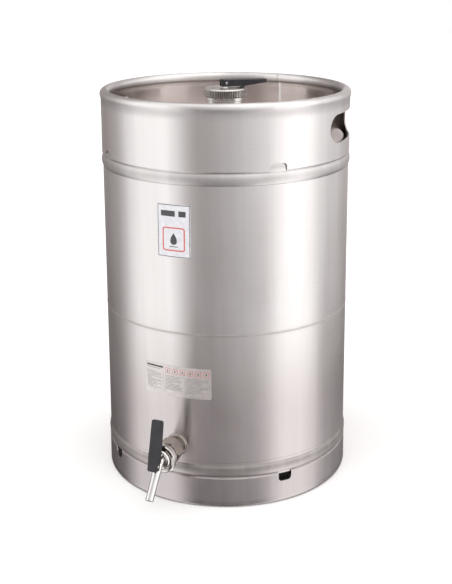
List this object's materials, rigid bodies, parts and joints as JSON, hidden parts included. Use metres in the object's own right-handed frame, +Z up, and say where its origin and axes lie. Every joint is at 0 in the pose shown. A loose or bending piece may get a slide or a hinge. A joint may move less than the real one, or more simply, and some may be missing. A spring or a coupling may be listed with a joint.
{
  "type": "beer keg",
  "caption": "Stainless drum keg with chimes, hand slots, a lever-vented screw closure in the top well and a self-closing lever tap with a spout low on the front.",
  "frame": {"origin": "on the keg axis at floor level, in the plane of the foot ring", "axes": "+Z up along the keg axis; the tap, spout and labels face -Y; +X is to the right when looking at the tap"},
  "size_m": [0.3809, 0.4751, 0.6107],
  "materials": {
    "shell_steel": "satin",
    "cap_steel": "machined satin",
    "bright_metal": "polished",
    "spring_steel": "bright",
    "lever_black": "satin moulded",
    "seal_rubber": "matt",
    "label_white": "matt film",
    "label_grey": "matt translucent film"
  },
  "bodies": {
    "keg": {"lower_shell": "shell_steel", "upper_shell": "shell_steel", "girth_weld": "shell_steel", "top_chime": "shell_steel", "bottom_chime": "shell_steel", "filling_neck": "shell_steel", "tap_socket": "shell_steel", "tap_gasket": "seal_rubber", "tap_union_nut": "bright_metal", "tap_body": "bright_metal", "tap_ring_nut": "bright_metal", "tap_head": "bright_metal", "spout_tube": "bright_metal", "tap_spring": "spring_steel", "size_label": "label_white", "data_label": "label_grey"},
    "closure": {"valve_housing": "bright_metal", "housing_seal": "seal_rubber", "vent_spring": "spring_steel"},
    "cap": {"screw_cap": "cap_steel"},
    "vent_valve": {"vent_stem": "bright_metal", "vent_seal": "seal_rubber"},
    "vent_handle": {"vent_lever": "lever_black", "vent_lever_pin": "bright_metal"},
    "tap_valve": {"tap_stem": "bright_metal", "tap_seal": "seal_rubber"},
    "tap_handle": {"tap_lever": "lever_black", "tap_lever_pin": "bright_metal"}
  },
  "joints": [
    {"name": "closure_lift", "type": "slide", "parent": "keg", "child": "closure", "axis": [0, 0, 1], "range_m": [0, 0.06]},
    {"name": "cap_turn", "type": "hinge", "parent": "closure", "child": "cap", "pos_m": [0, 0, 0.592], "axis": [0, 0, 1], "continuous": true},
    {"name": "vent_stem_slide", "type": "slide", "parent": "closure", "child": "vent_valve", "axis": [0, 0, 1], "range_m": [0, 0.00565], "deforming": ["vent_spring"]},
    {"name": "vent_lever_press", "type": "hinge", "parent": "vent_valve", "child": "vent_handle", "pos_m": [0, 0, 0.6053], "axis": [-0.682, 0.7314, 0], "range_deg": [0, 12], "stiffness_Nm_per_rad": 0.66, "springref_deg": -12.61},
    {"name": "tap_stem_slide", "type": "slide", "parent": "keg", "child": "tap_valve", "axis": [0, -1, 0], "range_m": [0, 0.00229], "deforming": ["tap_spring"]},
    {"name": "tap_lever_press", "type": "hinge", "parent": "tap_valve", "child": "tap_handle", "pos_m": [0, -0.264, 0.094], "axis": [-1, 0, 0], "range_deg": [0, 15], "stiffness_Nm_per_rad": 0.07, "springref_deg": -32.66}
  ],
  "couplings": [
    {"joint": "vent_lever_press", "follows": "vent_stem_slide", "rad_per_m": 37.037},
    {"joint": "tap_lever_press", "follows": "tap_stem_slide", "rad_per_m": 114.29}
  ]
}
